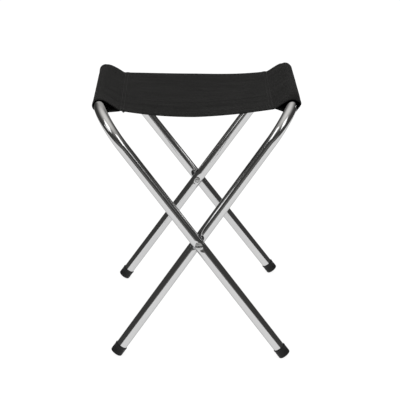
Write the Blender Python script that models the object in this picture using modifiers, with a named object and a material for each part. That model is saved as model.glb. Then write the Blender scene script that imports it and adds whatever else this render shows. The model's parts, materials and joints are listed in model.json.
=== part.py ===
"""Folding camp stool: two bent tube frames crossed on pivot screws, with a sling seat.

Metres, +Z up. The floor is z = 0 and the origin is under the middle of the seat.
The front is -Y. The outer frame leans to -X at its top, and the inner frame leans to +X.
"""

import math

import bmesh
import bpy
from mathutils import Matrix, Vector

# Driving dimensions.
TUBE_RADIUS = 0.0095
TUBE_WALL = 0.001
PIVOT_HEIGHT = 0.198
LEAN = math.radians(36.0)
SPLAY = math.tan(math.radians(2.48))
BAR_REACH = 0.2703
FOOT_REACH = 0.2392
BEND_RADIUS = 0.072
INNER_HALF_WIDTH = 0.16425
TUBE_PITCH = 0.0193
GAP = 0.0003

# Pressed flats round the pivots.
FLAT_DEPTH = 0.00165
FLAT_HALF = 0.0085
FLAT_RUN = 0.0155
SEAT_DEPTH = 0.0012
SEAT_RUN = 0.014

# Pivot hardware.
SCREW_RADIUS = 0.003
HOLE_RADIUS = 0.0033
HEAD_RADIUS = 0.0061
HEAD_HEIGHT = 0.0033
SLOT_WIDTH = 0.0018
SLOT_DEPTH = 0.0014
SPACER_RADIUS = 0.0055
NUT_RADIUS = 0.0055
NUT_HEIGHT = 0.0028
TIP_OVERHANG = 0.0005

# Rubber feet.
CAP_RADIUS = 0.01045
CAP_BORE = 0.00975
CAP_LENGTH = 0.017
CAP_BASE = 0.004
CAP_COLLAR = 0.0002
CAP_COLLAR_HEIGHT = 0.0025
CAP_EDGE = 0.0022

# Seat cloth.
SEAT_HALF_WIDTH = 0.119
CLOTH = 0.001
SLEEVE_CLEARANCE = 0.0004
SEAM_OFFSET = 0.033
FRONT_SEAM_DROP = 0.0093
REAR_SEAM_DROP = 0.0046
SEAM_TIP_RADIUS = 0.001
SEAM_EASE = 0.012
FRONT_SAG = 0.012
REAR_SAG = 0.004
SEAM_ROWS = (0.0018, 0.0072)
HEM_INSET = 0.009
THREAD_RADIUS = 0.0004

# Shape resolution.
TUBE_SIDES_SETTING = 6
BEND_STEPS = 10
TURN_STEPS = 28
SLEEVE_STEPS = 40
PANEL_COLUMNS = 20
PANEL_ROWS = 6

OUTER_HALF_WIDTH = INNER_HALF_WIDTH + TUBE_PITCH
PIVOT = Vector((0.0, 0.0, PIVOT_HEIGHT))
BAR_X = BAR_REACH * math.sin(LEAN)
BAR_Z = PIVOT_HEIGHT + BAR_REACH * math.cos(LEAN)

COLOURS = {
    "chrome": ((0.72, 0.72, 0.74), 0.12, 1.0),
    "zinc": ((0.62, 0.62, 0.64), 0.3, 1.0),
    "rubber": ((0.015, 0.015, 0.016), 0.7, 0.0),
    "nylon": ((0.02, 0.02, 0.02), 0.45, 0.0),
    "cloth": ((0.022, 0.022, 0.024), 0.9, 0.0),
    "thread": ((0.03, 0.03, 0.032), 0.8, 0.0),
}


def clear_scene():
    for item in list(bpy.data.objects):
        bpy.data.objects.remove(item, do_unlink=True)


def make_collection(name):
    group = bpy.data.collections.new(name)
    bpy.context.scene.collection.children.link(group)
    return group


def make_material(name):
    colour, roughness, metallic = COLOURS[name]
    material = bpy.data.materials.new(name)
    material.use_nodes = True
    shader = material.node_tree.nodes["Principled BSDF"]
    shader.inputs["Base Color"].default_value = (*colour, 1.0)
    shader.inputs["Roughness"].default_value = roughness
    shader.inputs["Metallic"].default_value = metallic
    return material


def add_object(name, data, material):
    item = bpy.data.objects.new(name, data)
    PARTS.objects.link(item)
    if data.materials:
        data.materials[0] = material
    else:
        data.materials.append(material)
    return item


def add_cutter(name, data):
    item = bpy.data.objects.new(name, data)
    CUTTERS.objects.link(item)
    item.hide_render = True
    item.display_type = "WIRE"
    return item


def cut(item, cutter):
    boolean = item.modifiers.new("cut_" + cutter.name, "BOOLEAN")
    boolean.operation = "DIFFERENCE"
    boolean.solver = "EXACT"
    boolean.object = cutter


def smooth_step(value):
    value = min(1.0, max(0.0, value))
    return value * value * (3.0 - 2.0 * value)


def steps(start, stop, count):
    return [start + (stop - start) * i / count for i in range(count + 1)]


# Frames. A frame is drawn flat first, as (across, up): across is along Y, and up is the
# distance above the pivot along the leaning plane. frame_point tips it into place.


def frame_point(across, up, lean_sign):
    x = lean_sign * up * math.sin(LEAN)
    return Vector((x, across, PIVOT_HEIGHT + up * math.cos(LEAN)))


def frame_half_path(half_width):
    """One leg from its foot to the middle of the top bar, on the +Y side."""
    foot = -FOOT_REACH + CAP_BASE + GAP
    around_pivot = steps(-FLAT_HALF - FLAT_RUN, FLAT_HALF + FLAT_RUN, 12)
    slope = math.atan(SPLAY)
    turn = math.pi / 2 - slope
    tangent = BEND_RADIUS * math.tan(turn / 2)
    corner = half_width - SPLAY * BAR_REACH
    centre = (corner - tangent, BAR_REACH - BEND_RADIUS)
    path = [(half_width - SPLAY * up, up) for up in [foot] + around_pivot]
    for angle in steps(slope, math.pi / 2, BEND_STEPS):
        across = centre[0] + BEND_RADIUS * math.cos(angle)
        up = centre[1] + BEND_RADIUS * math.sin(angle)
        path.append((across, up))
    return path


def frame_path(half_width, lean_sign):
    half = frame_half_path(half_width)
    rear = [frame_point(across, up, lean_sign) for across, up in half]
    front = [frame_point(-across, up, lean_sign) for across, up in half]
    return front + rear[::-1]


def tube_curve(name, points, radius, sides_setting, caps):
    curve = bpy.data.curves.new(name, "CURVE")
    curve.dimensions = "3D"
    curve.bevel_depth = radius
    curve.bevel_resolution = sides_setting
    curve.use_fill_caps = caps
    spline = curve.splines.new("POLY")
    spline.points.add(len(points) - 1)
    for place, point in zip(spline.points, points):
        place.co = (*point, 1.0)
    return curve


def curve_to_mesh(curve, name):
    item = bpy.data.objects.new(name + "_route", curve)
    bpy.context.scene.collection.objects.link(item)
    graph = bpy.context.evaluated_depsgraph_get()
    mesh = bpy.data.meshes.new_from_object(item.evaluated_get(graph))
    bpy.data.objects.remove(item, do_unlink=True)
    bpy.data.curves.remove(curve)
    mesh.name = name
    return mesh


def press_flats(mesh, half_width, mating_side):
    """Flatten the tube where it meets its neighbour, and dimple the side of its fastener.

    mating_side is +1 where the neighbour is on the tube's outside, and -1 on its inside.
    """
    for vertex in mesh.vertices:
        point = vertex.co
        hand = 1.0 if point.y > 0.0 else -1.0
        along = math.hypot(point.x, point.z - PIVOT_HEIGHT)
        if along > FLAT_HALF + FLAT_RUN:
            continue
        away = (abs(point.y) - half_width) * mating_side
        fade = smooth_step((along - FLAT_HALF) / FLAT_RUN)
        mating_limit = TUBE_RADIUS - FLAT_DEPTH + fade * 2.0 * FLAT_DEPTH
        fastener_fade = smooth_step((along - HEAD_RADIUS) / SEAT_RUN)
        fastener_limit = TUBE_RADIUS - SEAT_DEPTH + fastener_fade * 2.0 * SEAT_DEPTH
        away = max(-fastener_limit, min(mating_limit, away))
        point.y = hand * (half_width + away * mating_side)


def make_frame(name, half_width, lean_sign, mating_side):
    curve = tube_curve(name, frame_path(half_width, lean_sign), TUBE_RADIUS, TUBE_SIDES_SETTING, False)
    mesh = curve_to_mesh(curve, name)
    press_flats(mesh, half_width, mating_side)
    mesh.shade_smooth()
    item = add_object(name, mesh, MATERIALS["chrome"])
    wall = item.modifiers.new("wall", "SOLIDIFY")
    wall.thickness = TUBE_WALL
    wall.offset = -1.0
    for hand, side in ((-1.0, "front"), (1.0, "rear")):
        drill = pivot_cylinder(f"{name}_drill_{side}", hand * half_width)
        cut(item, drill)
    return item


def pivot_cylinder(name, centre_y):
    shape = bmesh.new()
    place = Matrix.Translation((0.0, centre_y, PIVOT_HEIGHT)) @ Matrix.Rotation(math.pi / 2, 4, "X")
    bmesh.ops.create_cone(
        shape,
        cap_ends=True,
        segments=TURN_STEPS,
        radius1=HOLE_RADIUS,
        radius2=HOLE_RADIUS,
        depth=3.0 * TUBE_RADIUS,
        matrix=place,
    )
    mesh = bpy.data.meshes.new(name)
    shape.to_mesh(mesh)
    shape.free()
    return add_cutter(name, mesh)


# Turned pieces. A profile is a list of (radius, height) from the axis, running up any bore
# and down the outside.


def arc(centre, radius, start, stop, count):
    turns = steps(math.radians(start), math.radians(stop), count)
    return [(centre[0] + radius * math.cos(a), centre[1] + radius * math.sin(a)) for a in turns]


def turned_piece(name, profile, material, closed):
    mesh = bpy.data.meshes.new(name)
    edges = [(i, i + 1) for i in range(len(profile) - 1)]
    if closed:
        edges.append((len(profile) - 1, 0))
    mesh.from_pydata([(radius, 0.0, height) for radius, height in profile], edges, [])
    item = add_object(name, mesh, material)
    screw = item.modifiers.new("turn", "SCREW")
    screw.steps = TURN_STEPS
    screw.render_steps = TURN_STEPS
    screw.use_merge_vertices = True
    screw.merge_threshold = 0.00005
    screw.use_normal_calculate = False
    screw.use_smooth_shade = True
    return item


def aim(item, origin, direction):
    item.location = origin
    item.rotation_mode = "QUATERNION"
    item.rotation_quaternion = direction.to_track_quat("Z", "Y")


def cap_profile():
    collar = CAP_RADIUS + CAP_COLLAR
    collar_low = CAP_LENGTH - CAP_COLLAR_HEIGHT
    profile = [(0.0, CAP_BASE), (CAP_BORE, CAP_BASE), (CAP_BORE, CAP_LENGTH)]
    profile += [(collar, CAP_LENGTH), (collar, collar_low), (CAP_RADIUS, collar_low - CAP_COLLAR)]
    profile += arc((CAP_RADIUS - CAP_EDGE, CAP_EDGE), CAP_EDGE, 0.0, -90.0, 5)
    profile.append((0.0, 0.0))
    return profile


def make_foot(name, half_width, lean_sign, hand):
    end = frame_point(hand * (half_width + SPLAY * FOOT_REACH), -FOOT_REACH, lean_sign)
    pivot = frame_point(hand * half_width, 0.0, lean_sign)
    item = turned_piece(name, cap_profile(), MATERIALS["rubber"], closed=False)
    aim(item, end, pivot - end)
    cut(item, FLOOR_CUTTER)
    return item


def make_floor_cutter():
    """A block below the floor, which leaves each foot a small worn flat to stand on."""
    size = 1.0
    shape = bmesh.new()
    bmesh.ops.create_cube(shape, size=size, matrix=Matrix.Translation((0.0, 0.0, -size / 2)))
    mesh = bpy.data.meshes.new("floor_block")
    shape.to_mesh(mesh)
    shape.free()
    return add_cutter("floor_block", mesh)


HEAD_SEAT_Y = OUTER_HALF_WIDTH + TUBE_RADIUS - SEAT_DEPTH + GAP
NUT_SEAT_Y = INNER_HALF_WIDTH - TUBE_RADIUS + SEAT_DEPTH - GAP
SCREW_TIP_Y = NUT_SEAT_Y - NUT_HEIGHT - TIP_OVERHANG


def screw_profile():
    """Shank from its tip to the head's underside, then a domed pan head."""
    shank = HEAD_SEAT_Y - SCREW_TIP_Y
    chamfer = 0.0005
    rim = 0.0011
    crown = HEAD_HEIGHT - rim
    profile = [(0.0, shank + HEAD_HEIGHT)]
    for angle in steps(math.pi / 2, 0.0, 6)[1:]:
        radius = HEAD_RADIUS * math.cos(angle)
        profile.append((radius, shank + rim + crown * math.sin(angle)))
    profile += [(HEAD_RADIUS, shank), (SCREW_RADIUS, shank), (SCREW_RADIUS, chamfer)]
    profile += [(SCREW_RADIUS - chamfer, 0.0), (0.0, 0.0)]
    return profile


def make_screw(side, hand):
    item = turned_piece(f"pivot_screw_{side}", screw_profile(), MATERIALS["zinc"], closed=False)
    aim(item, Vector((0.0, hand * SCREW_TIP_Y, PIVOT_HEIGHT)), Vector((0.0, hand, 0.0)))
    top_y = HEAD_SEAT_Y + HEAD_HEIGHT
    shape = bmesh.new()
    size = Matrix.Diagonal((4.0 * HEAD_RADIUS, 2.0 * SLOT_DEPTH, SLOT_WIDTH, 1.0))
    bmesh.ops.create_cube(shape, size=1.0, matrix=size)
    mesh = bpy.data.meshes.new("screw_slot")
    shape.to_mesh(mesh)
    shape.free()
    slot = add_cutter(f"screw_slot_{side}", mesh)
    slot.location = (0.0, hand * top_y, PIVOT_HEIGHT)
    cut(item, slot)


def make_spacer(side, hand):
    thickness = TUBE_PITCH - 2.0 * (TUBE_RADIUS - FLAT_DEPTH) - 2.0 * GAP
    profile = [(HOLE_RADIUS, 0.0), (HOLE_RADIUS, thickness)]
    profile += [(SPACER_RADIUS, thickness), (SPACER_RADIUS, 0.0)]
    item = turned_piece(f"pivot_spacer_{side}", profile, MATERIALS["nylon"], closed=True)
    start = INNER_HALF_WIDTH + TUBE_RADIUS - FLAT_DEPTH + GAP
    aim(item, Vector((0.0, hand * start, PIVOT_HEIGHT)), Vector((0.0, hand, 0.0)))


def make_nut(side, hand):
    edge = 0.0012
    profile = [(HOLE_RADIUS, 0.0), (HOLE_RADIUS, NUT_HEIGHT)]
    profile += arc((NUT_RADIUS - edge, NUT_HEIGHT - edge), edge, 90.0, 0.0, 4)
    profile.append((NUT_RADIUS, 0.0))
    item = turned_piece(f"pivot_nut_{side}", profile, MATERIALS["zinc"], closed=True)
    aim(item, Vector((0.0, hand * NUT_SEAT_Y, PIVOT_HEIGHT)), Vector((0.0, -hand, 0.0)))


# Seat cloth. Sections are drawn as (inward, up) from the bar's axis.


def ring(centre, radius, stretch, direction, count):
    """Points round a circle that is stretched along one direction."""
    points = []
    for i in range(count):
        angle = 2.0 * math.pi * i / count
        along = radius * stretch * math.cos(angle)
        beside = radius * math.sin(angle)
        inward = centre[0] + along * direction[0] - beside * direction[1]
        up = centre[1] + along * direction[1] + beside * direction[0]
        points.append((inward, up))
    return points


def turn_of(a, b, c):
    return (b[0] - a[0]) * (c[1] - a[1]) - (b[1] - a[1]) * (c[0] - a[0])


def taut_outline(points):
    """The shortest loop round the points, anticlockwise."""
    outline = []
    for ordered in (sorted(points), sorted(points, reverse=True)):
        chain = []
        for point in ordered:
            while len(chain) > 1 and turn_of(chain[-2], chain[-1], point) <= 1e-12:
                chain.pop()
            chain.append(point)
        outline += chain[:-1]
    return outline


def bend_drop(half_width):
    """How far the tube has left the bar's line at the sleeve's mouth, and its slope there."""
    slope = math.atan(SPLAY)
    tangent = BEND_RADIUS * math.tan((math.pi / 2 - slope) / 2)
    straight = half_width - SPLAY * BAR_REACH - tangent
    angle = math.asin((SEAT_HALF_WIDTH - straight) / BEND_RADIUS)
    return BEND_RADIUS * (1.0 - math.cos(angle)), 1.0 / math.cos(angle)


def seam_drop(y):
    """How far the seams lie below the bars' axes, which is more at the front."""
    rearward = (y + SEAT_HALF_WIDTH) / (2.0 * SEAT_HALF_WIDTH)
    return FRONT_SEAM_DROP + (REAR_SEAM_DROP - FRONT_SEAM_DROP) * rearward


def sleeve_outline(half_width):
    """Cloth pulled round the bar, the bending tube at the mouth, and the seam at y = 0."""
    drop, stretch = bend_drop(half_width)
    downhill = (math.sin(LEAN), -math.cos(LEAN))
    inner_radius = TUBE_RADIUS + SLEEVE_CLEARANCE
    at_mouth = (drop * downhill[0], drop * downhill[1])
    seam = (SEAM_OFFSET - SEAM_TIP_RADIUS - CLOTH, -seam_drop(0.0))
    points = ring((0.0, 0.0), inner_radius, 1.0, downhill, SLEEVE_STEPS)
    points += ring(at_mouth, inner_radius, stretch, downhill, SLEEVE_STEPS)
    points += ring(seam, SEAM_TIP_RADIUS, 1.0, downhill, 8)
    return taut_outline(points)


def lift_seam(shape):
    """Tilts the sleeve's seam along Y, and leaves the cloth round the bar as it is."""
    for vertex in shape.verts:
        inward = BAR_X - abs(vertex.co.x)
        share = smooth_step((inward - SEAM_EASE) / (SEAM_OFFSET - SEAM_EASE))
        vertex.co.z += share * (seam_drop(0.0) - seam_drop(vertex.co.y))


def make_sleeve(name, half_width, lean_sign):
    """lean_sign is -1 at the left bar and +1 at the right one."""
    outline = sleeve_outline(half_width)
    shape = bmesh.new()
    loop = []
    for inward, up in outline:
        x = lean_sign * (BAR_X - inward)
        loop.append(shape.verts.new((x, -SEAT_HALF_WIDTH, BAR_Z + up)))
    edges = [shape.edges.new((loop[i - 1], loop[i])) for i in range(len(loop))]
    wall = bmesh.ops.extrude_edge_only(shape, edges=edges)
    moved = [v for v in wall["geom"] if isinstance(v, bmesh.types.BMVert)]
    bmesh.ops.translate(shape, vec=(0.0, 2.0 * SEAT_HALF_WIDTH, 0.0), verts=moved)
    lift_seam(shape)
    bmesh.ops.recalc_face_normals(shape, faces=shape.faces)
    centre = Vector((lean_sign * BAR_X, 0.0, BAR_Z))
    first = shape.faces[:][0]
    if first.normal.dot(first.calc_center_median() - centre) < 0.0:
        bmesh.ops.reverse_faces(shape, faces=shape.faces)
    mesh = bpy.data.meshes.new(name)
    shape.to_mesh(mesh)
    shape.free()
    item = add_object(name, mesh, MATERIALS["cloth"])
    skin = item.modifiers.new("cloth", "SOLIDIFY")
    skin.thickness = CLOTH
    skin.offset = 1.0
    skin.use_even_offset = True


def panel_height(x, y):
    """Mid-surface of the seat between its seams, sagging most at the front edge."""
    half_span = BAR_X - SEAM_OFFSET
    rearward = (y + SEAT_HALF_WIDTH) / (2.0 * SEAT_HALF_WIDTH)
    sag = FRONT_SAG + (REAR_SAG - FRONT_SAG) * rearward
    return BAR_Z - seam_drop(y) - sag * (1.0 - (x / half_span) ** 2)


def make_panel():
    half_span = BAR_X - SEAM_OFFSET - GAP
    shape = bmesh.new()
    bmesh.ops.create_grid(shape, x_segments=PANEL_COLUMNS, y_segments=PANEL_ROWS, size=1.0)
    for vertex in shape.verts:
        x = vertex.co.x * half_span
        y = vertex.co.y * SEAT_HALF_WIDTH
        vertex.co = (x, y, panel_height(x, y))
    mesh = bpy.data.meshes.new("seat_panel")
    shape.to_mesh(mesh)
    shape.free()
    item = add_object("seat_panel", mesh, MATERIALS["cloth"])
    skin = item.modifiers.new("cloth", "SOLIDIFY")
    skin.thickness = CLOTH
    skin.offset = 0.0


def thread_point(x, y):
    return Vector((x, y, panel_height(x, y) + CLOTH / 2 + GAP + THREAD_RADIUS))


def make_thread(name, points):
    mesh = curve_to_mesh(tube_curve(name, points, THREAD_RADIUS, 1, True), name)
    shape = bmesh.new()
    shape.from_mesh(mesh)
    bmesh.ops.remove_doubles(shape, verts=shape.verts, dist=0.00001)
    bmesh.ops.recalc_face_normals(shape, faces=shape.faces)
    shape.to_mesh(mesh)
    shape.free()
    add_object(name, mesh, MATERIALS["thread"])


def make_seam_threads():
    reach = SEAT_HALF_WIDTH - 0.002
    for side, sign in (("left", -1.0), ("right", 1.0)):
        for row, inset in zip(("outer", "inner"), SEAM_ROWS):
            x = sign * (BAR_X - SEAM_OFFSET - GAP - inset)
            points = [thread_point(x, y) for y in steps(-reach, reach, 4)]
            make_thread(f"seam_thread_{side}_{row}", points)


def make_hem_threads():
    reach = BAR_X - SEAM_OFFSET - GAP - SEAM_ROWS[1] - 0.003
    for side, hand in (("front", -1.0), ("rear", 1.0)):
        y = hand * (SEAT_HALF_WIDTH - HEM_INSET)
        points = [thread_point(x, y) for x in steps(-reach, reach, PANEL_COLUMNS - 2)]
        make_thread(f"hem_thread_{side}", points)


clear_scene()
PARTS = make_collection("camp_stool")
CUTTERS = make_collection("cutters")
MATERIALS = {name: make_material(name) for name in COLOURS}
FLOOR_CUTTER = make_floor_cutter()

make_frame("outer_frame_tube", OUTER_HALF_WIDTH, -1.0, -1.0)
make_frame("inner_frame_tube", INNER_HALF_WIDTH, 1.0, 1.0)
for side, hand in (("front", -1.0), ("rear", 1.0)):
    make_foot(f"outer_foot_{side}", OUTER_HALF_WIDTH, -1.0, hand)
    make_foot(f"inner_foot_{side}", INNER_HALF_WIDTH, 1.0, hand)
    make_screw(side, hand)
    make_spacer(side, hand)
    make_nut(side, hand)
make_sleeve("seat_sleeve_left", OUTER_HALF_WIDTH, -1.0)
make_sleeve("seat_sleeve_right", INNER_HALF_WIDTH, 1.0)
make_panel()
make_seam_threads()
make_hem_threads()
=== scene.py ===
"""Looks of the folding camp stool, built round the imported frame.

Metres, +Z up, the floor is z = 0 and the front is -Y. The outer frame's top bar is at -X
and the inner frame's is at +X.
"""

import json
import math

import bmesh
import bpy
import numpy as np
from mathutils import Matrix, Vector, noise


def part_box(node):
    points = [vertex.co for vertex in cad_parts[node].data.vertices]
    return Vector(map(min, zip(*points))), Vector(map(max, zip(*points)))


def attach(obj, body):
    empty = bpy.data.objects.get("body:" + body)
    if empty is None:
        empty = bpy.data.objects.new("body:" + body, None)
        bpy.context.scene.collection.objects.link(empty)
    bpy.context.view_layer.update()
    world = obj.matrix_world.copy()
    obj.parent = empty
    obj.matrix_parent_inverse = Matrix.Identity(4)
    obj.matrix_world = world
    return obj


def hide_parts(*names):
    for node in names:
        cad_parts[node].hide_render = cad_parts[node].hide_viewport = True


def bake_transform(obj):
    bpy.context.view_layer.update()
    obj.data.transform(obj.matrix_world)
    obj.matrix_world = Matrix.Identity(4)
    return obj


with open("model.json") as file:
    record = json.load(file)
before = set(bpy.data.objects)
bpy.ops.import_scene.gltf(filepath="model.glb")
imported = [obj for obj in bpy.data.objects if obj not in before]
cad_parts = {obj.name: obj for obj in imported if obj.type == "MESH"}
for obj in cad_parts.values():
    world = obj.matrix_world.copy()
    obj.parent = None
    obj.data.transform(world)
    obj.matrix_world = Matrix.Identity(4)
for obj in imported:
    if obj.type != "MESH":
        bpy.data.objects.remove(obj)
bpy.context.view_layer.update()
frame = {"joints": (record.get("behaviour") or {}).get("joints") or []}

# Driving dimensions, as the frame was designed. Reaches are from the pivots, up a frame's
# own leaning plane, and the splay is how far a leg moves outward for each metre down.
TUBE_RADIUS = 0.0095
TUBE_WALL = 0.001
TUBE_PITCH = 0.0193
LEAN = math.radians(36.0)
SPLAY = math.tan(math.radians(2.48))
SPLAY_ANGLE = math.atan(SPLAY)
BAR_REACH = 0.2703
FOOT_REACH = 0.2392
BEND_RADIUS = 0.072
BEND_TANGENT = BEND_RADIUS * math.tan((math.pi / 2 - SPLAY_ANGLE) / 2)
TUBE_END = 0.0043

# The seat: where its seams are and how far it hangs. A skew changes the sag toward a corner.
SEAM_OFFSET = 0.033
SEAM_GAP = 0.0003
FRONT_SEAM_DROP = 0.0093
REAR_SEAM_DROP = 0.0046
REAR_RIGHT_DROP = 0.0015
FRONT_SAG = 0.012
REAR_SAG = 0.004
FRONT_RIGHT_SKEW = -0.3
REAR_RIGHT_SKEW = 0.8
REAR_LEFT_SKEW = -0.6

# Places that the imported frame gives.
PIVOT = Vector(frame["joints"][0]["pos_m"])
SPACER_LOW, SPACER_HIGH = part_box("pivot_spacer_rear")
SPACER_Y = (SPACER_LOW.y + SPACER_HIGH.y) / 2
INNER_HALF_WIDTH = SPACER_Y - TUBE_PITCH / 2
OUTER_HALF_WIDTH = SPACER_Y + TUBE_PITCH / 2
SEAT_HALF_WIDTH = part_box("seat_panel")[1].y
BAR_X = BAR_REACH * math.sin(LEAN)
BAR_Z = PIVOT.z + BAR_REACH * math.cos(LEAN)
SEAM_X = BAR_X - SEAM_OFFSET

# Pressed flats round the pivots, toward the other tube, and seats under the fasteners.
FLAT_DEPTH = 0.00165
FLAT_HALF = 0.006
FLAT_RUN = 0.018
SEAT_DEPTH = 0.0009
SEAT_RUN = 0.014
PRESS_CLEAR = 0.0025
PRESS_SOFTNESS = 0.0002
PRESS_MARGIN = 0.002
PRESS_REACH = FLAT_HALF + FLAT_RUN + PRESS_MARGIN
HOLE_RADIUS = 0.0033
DRILL_LENGTH = 0.03

# Pivot screws and nuts.
HEAD_RADIUS = 0.0061
HEAD_HEIGHT = 0.0033
HEAD_RIM = 0.0016
SCREW_RADIUS = 0.003
TIP_CHAMFER = 0.0005
CHAMFER = 0.0002
SLOT_WIDTH = 0.0022
SLOT_DEPTH = 0.0018
SLOT_LENGTH = 0.02
SLOT_BEVEL = 0.00012
FLOOR_MARGIN = 0.0001
WALL_MARGIN = 0.00002
WELD_DISTANCE = 0.000002
NUT_CLEARANCE = 0.00015
NUT_ROUND = 0.0012
NUT_CHAMFER = 0.0004
SPACER_ROUND = 0.0005
SHARP_ANGLE = math.radians(50.0)

# Cloth. A layer is a thickness of cloth and the air under it.
CLOTH = 0.00065
LAYER = 0.0008
WEAVE_PITCH = 0.0007
HEM_WIDTH = 0.011
HEM_STITCH = 0.009
UNDERLAP = 0.0095
LAP_RIDGE = 0.0006
SEAM_ROWS = (("outer", 0.0018), ("inner", 0.0072))

HANDS = (("front", -1.0), ("rear", 1.0))


def smooth_step(value):
    value = np.clip(value, 0.0, 1.0)
    return value * value * (3.0 - 2.0 * value)


# Materials. Each surface's colour, roughness and bump come from procedural nodes.


def rgb(colour):
    """Red, green and blue. A single number is a grey."""
    return colour if isinstance(colour, tuple) else (colour, colour, colour)


class Shader:
    """A new material with a Principled BSDF, and short ways to add nodes to it."""

    def __init__(self, name):
        self.material = bpy.data.materials.new(name)
        self.material.use_nodes = True
        self.tree = self.material.node_tree
        self.bsdf = self.tree.nodes["Principled BSDF"]

    def add(self, kind, **settings):
        node = self.tree.nodes.new(kind)
        for key, value in settings.items():
            setattr(node, key, value)
        return node

    def link(self, source, target):
        self.tree.links.new(source, target)

    def value(self, socket, number):
        self.bsdf.inputs[socket].default_value = number

    def object_place(self):
        return self.add("ShaderNodeTexCoord").outputs["Object"]

    def uv(self, name):
        return self.add("ShaderNodeUVMap", uv_map=name).outputs["UV"]

    def axes(self, vector):
        node = self.add("ShaderNodeSeparateXYZ")
        self.link(vector, node.inputs[0])
        return node.outputs

    def math(self, operation, *terms):
        node = self.add("ShaderNodeMath", operation=operation)
        for socket, term in zip(node.inputs, terms):
            if isinstance(term, (int, float)):
                socket.default_value = term
            else:
                self.link(term, socket)
        return node.outputs[0]

    def total(self, *parts):
        """The sum of (value, weight) pairs."""
        terms = [self.math("MULTIPLY", value, weight) for value, weight in parts]
        result = terms[0]
        for term in terms[1:]:
            result = self.math("ADD", result, term)
        return result

    def noise(self, vector, scale, detail=3.0, rough=0.5):
        node = self.add("ShaderNodeTexNoise")
        node.inputs["Scale"].default_value = scale
        node.inputs["Detail"].default_value = detail
        node.inputs["Roughness"].default_value = rough
        self.link(vector, node.inputs["Vector"])
        return node.outputs["Fac"]

    def grain(self, uv, cells, detail, rough=0.5):
        """Noise with its own number of cells in a metre of u and in a metre of v."""
        node = self.add("ShaderNodeMapping")
        node.inputs["Scale"].default_value = (*cells, 1.0)
        self.link(uv, node.inputs["Vector"])
        return self.noise(node.outputs["Vector"], 1.0, detail, rough)

    def ramp(self, factor, *stops):
        """Runs through the (place, colour) stops as the factor goes from 0 to 1."""
        node = self.add("ShaderNodeValToRGB")
        elements = node.color_ramp.elements
        while len(elements) < len(stops):
            elements.new(0.5)
        for element, (place, colour) in zip(elements, stops):
            element.position = place
            element.color = (*rgb(colour), 1.0)
        self.link(factor, node.inputs["Fac"])
        return node.outputs["Color"]

    def colour(self, factor, *stops):
        self.link(self.ramp(factor, *stops), self.bsdf.inputs["Base Color"])

    def roughness(self, factor, low, high):
        node = self.add("ShaderNodeMapRange")
        node.inputs["To Min"].default_value = low
        node.inputs["To Max"].default_value = high
        self.link(factor, node.inputs["Value"])
        self.link(node.outputs["Result"], self.bsdf.inputs["Roughness"])

    def bump(self, height, distance, strength=1.0, after=None):
        node = self.add("ShaderNodeBump")
        node.inputs["Distance"].default_value = distance
        node.inputs["Strength"].default_value = strength
        self.link(height, node.inputs["Height"])
        if after is not None:
            self.link(after, node.inputs["Normal"])
        self.link(node.outputs["Normal"], self.bsdf.inputs["Normal"])
        return node.outputs["Normal"]


def chrome_material():
    """Polished chrome plate on drawn tube: a faint draw grain and uneven polish."""
    s = Shader("chrome_plate")
    uv = s.uv("lengthwise")
    polish = s.grain(uv, (9.0, 30.0), detail=4.0)
    s.value("Metallic", 1.0)
    s.value("Specular Tint", (0.55, 0.55, 0.55, 1.0))
    s.colour(polish, (0.3, (0.56, 0.56, 0.565)), (0.7, 0.6))
    s.roughness(polish, low=0.07, high=0.12)
    draw_lines = s.grain(uv, (4.0, 420.0), detail=2.0)
    s.bump(draw_lines, distance=0.000003)
    return s.material


def plated_material():
    """Dull zinc plate on the screws and nuts."""
    s = Shader("zinc_plate")
    place = s.object_place()
    cloud = s.noise(place, 900.0, detail=4.0)
    s.value("Metallic", 1.0)
    s.colour(cloud, (0.3, 0.5), (0.75, (0.62, 0.62, 0.61)))
    s.roughness(cloud, low=0.46, high=0.6)
    s.bump(s.noise(place, 1800.0, detail=2.0), distance=0.00001, strength=0.4)
    return s.material


def slot_shade_material():
    """Painted shade in the bottom of the screw slots: a dark material in place of the shade that falls
    in the recess.
    """
    s = Shader("slot_painted_shade")
    cloud = s.noise(s.object_place(), 1200.0)
    s.value("Metallic", 0.3)
    s.colour(cloud, (0.3, 0.012), (0.8, 0.04))
    s.roughness(cloud, low=0.55, high=0.75)
    s.bump(cloud, distance=0.00003, strength=0.6)
    return s.material


def rubber_material():
    """Moulded black rubber with a fine grain, a little dust and scuffs."""
    s = Shader("moulded_rubber")
    place = s.object_place()
    dust = s.noise(place, 260.0, detail=6.0, rough=0.65)
    s.value("Specular IOR Level", 0.35)
    s.colour(dust, (0.35, 0.006), (0.8, 0.016))
    s.roughness(dust, low=0.5, high=0.75)
    grain = s.bump(s.noise(place, 2600.0), distance=0.00005, strength=0.7)
    s.bump(s.noise(place, 420.0), distance=0.00012, strength=0.5, after=grain)
    return s.material


def nylon_material():
    """Black nylon of the spacers."""
    s = Shader("black_nylon")
    place = s.object_place()
    cloud = s.noise(place, 800.0)
    s.colour(cloud, (0.3, 0.014), (0.8, 0.024))
    s.roughness(cloud, low=0.35, high=0.5)
    s.bump(s.noise(place, 3000.0, detail=2.0), distance=0.00002, strength=0.5)
    return s.material


def weave_height(s, uv):
    """Plain weave: warp and weft threads pass over each other in turn."""
    axes = s.axes(uv)
    across = s.math("MULTIPLY", axes["X"], math.pi / WEAVE_PITCH)
    along = s.math("MULTIPLY", axes["Y"], math.pi / WEAVE_PITCH)
    over = s.math("MULTIPLY", s.math("SINE", across), s.math("SINE", along))
    warp = s.math("ABSOLUTE", s.math("COSINE", across))
    weft = s.math("ABSOLUTE", s.math("COSINE", along))
    return s.total((warp, 0.5), (weft, 0.5), (over, 0.5))


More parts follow.
